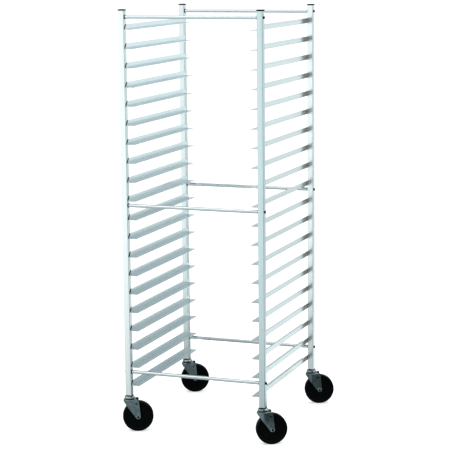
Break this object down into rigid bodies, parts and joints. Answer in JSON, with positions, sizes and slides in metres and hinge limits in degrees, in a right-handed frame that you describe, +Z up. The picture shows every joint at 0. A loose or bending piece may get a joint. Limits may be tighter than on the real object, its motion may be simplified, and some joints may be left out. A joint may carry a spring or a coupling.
{
  "type": "sheet pan rack",
  "caption": "Open end-loading rolling rack: square aluminium posts, angle runners that carry trays from the front, round spreader rods and swivel casters.",
  "frame": {"origin": "on the floor, midway between the points where the four wheels touch it", "axes": "+X across the rack to the right as seen from the front, +Y from the open front to the rear, +Z up"},
  "size_m": [0.705, 0.7159, 1.7205],
  "materials": {
    "aluminium": "bright drawn aluminium, fine lengthwise lines",
    "zinc_steel": "zinc plated pressed steel, slightly cloudy",
    "black_rubber": "hard black rubber, low sheen",
    "black_plastic": "moulded black plastic caps",
    "black_bolt": "black oxide steel bolts"
  },
  "bodies": {
    "rack_frame": {"post_front_left": "aluminium", "post_front_right": "aluminium", "post_rear_left": "aluminium", "post_rear_right": "aluminium", "left_runner_01": "aluminium", "left_runner_02": "aluminium", "left_runner_03": "aluminium", "left_runner_04": "aluminium", "left_runner_05": "aluminium", "left_runner_06": "aluminium", "left_runner_07": "aluminium", "left_runner_08": "aluminium", "left_runner_09": "aluminium", "left_runner_10": "aluminium", "left_runner_11": "aluminium", "left_runner_12": "aluminium", "left_runner_13": "aluminium", "left_runner_14": "aluminium", "left_runner_15": "aluminium", "left_runner_16": "aluminium", "left_runner_17": "aluminium", "left_runner_18": "aluminium", "left_runner_19": "aluminium", "left_runner_20": "aluminium", "right_runner_01": "aluminium", "right_runner_02": "aluminium", "right_runner_03": "aluminium", "right_runner_04": "aluminium", "right_runner_05": "aluminium", "right_runner_06": "aluminium", "right_runner_07": "aluminium", "right_runner_08": "aluminium", "right_runner_09": "aluminium", "right_runner_10": "aluminium", "right_runner_11": "aluminium", "right_runner_12": "aluminium", "right_runner_13": "aluminium", "right_runner_14": "aluminium", "right_runner_15": "aluminium", "right_runner_16": "aluminium", "right_runner_17": "aluminium", "right_runner_18": "aluminium", "right_runner_19": "aluminium", "right_runner_20": "aluminium", "top_front_rod": "aluminium", "top_rear_rod": "aluminium", "middle_front_rod": "aluminium", "middle_rear_rod": "aluminium", "bottom_front_rod": "aluminium", "bottom_rear_rod": "aluminium"},
    "caster_front_left": {"caster_fork_front_left": "zinc_steel"},
    "wheel_front_left": {"caster_wheel_front_left": "black_rubber"},
    "caster_front_right": {"caster_fork_front_right": "zinc_steel"},
    "wheel_front_right": {"caster_wheel_front_right": "black_rubber"},
    "caster_rear_left": {"caster_fork_rear_left": "zinc_steel"},
    "wheel_rear_left": {"caster_wheel_rear_left": "black_rubber"},
    "caster_rear_right": {"caster_fork_rear_right": "zinc_steel"},
    "wheel_rear_right": {"caster_wheel_rear_right": "black_rubber"}
  },
  "joints": [
    {"name": "caster_swivel_front_left", "type": "hinge", "parent": "rack_frame", "child": "caster_front_left", "pos_m": [-0.32086, -0.33113, 0.1424], "axis": [0, 0, 1], "continuous": true},
    {"name": "wheel_roll_front_left", "type": "hinge", "parent": "caster_front_left", "child": "wheel_front_left", "pos_m": [-0.2898, -0.3173, 0.0631], "axis": [-0.4067, 0.9135, 0], "continuous": true},
    {"name": "caster_swivel_front_right", "type": "hinge", "parent": "rack_frame", "child": "caster_front_right", "pos_m": [0.25874, -0.33113, 0.1424], "axis": [0, 0, 1], "continuous": true},
    {"name": "wheel_roll_front_right", "type": "hinge", "parent": "caster_front_right", "child": "wheel_front_right", "pos_m": [0.28818, -0.31413, 0.0631], "axis": [-0.5, 0.866, 0], "continuous": true},
    {"name": "caster_swivel_rear_left", "type": "hinge", "parent": "rack_frame", "child": "caster_rear_left", "pos_m": [-0.32086, 0.30347, 0.1424], "axis": [0, 0, 1], "continuous": true},
    {"name": "wheel_roll_rear_left", "type": "hinge", "parent": "caster_rear_left", "child": "wheel_rear_left", "pos_m": [-0.2898, 0.3173, 0.0631], "axis": [-0.4067, 0.9135, 0], "continuous": true},
    {"name": "caster_swivel_rear_right", "type": "hinge", "parent": "rack_frame", "child": "caster_rear_right", "pos_m": [0.25874, 0.30347, 0.1424], "axis": [0, 0, 1], "continuous": true},
    {"name": "wheel_roll_rear_right", "type": "hinge", "parent": "caster_rear_right", "child": "wheel_rear_right", "pos_m": [0.2898, 0.3173, 0.0631], "axis": [-0.4067, 0.9135, 0], "continuous": true}
  ]
}
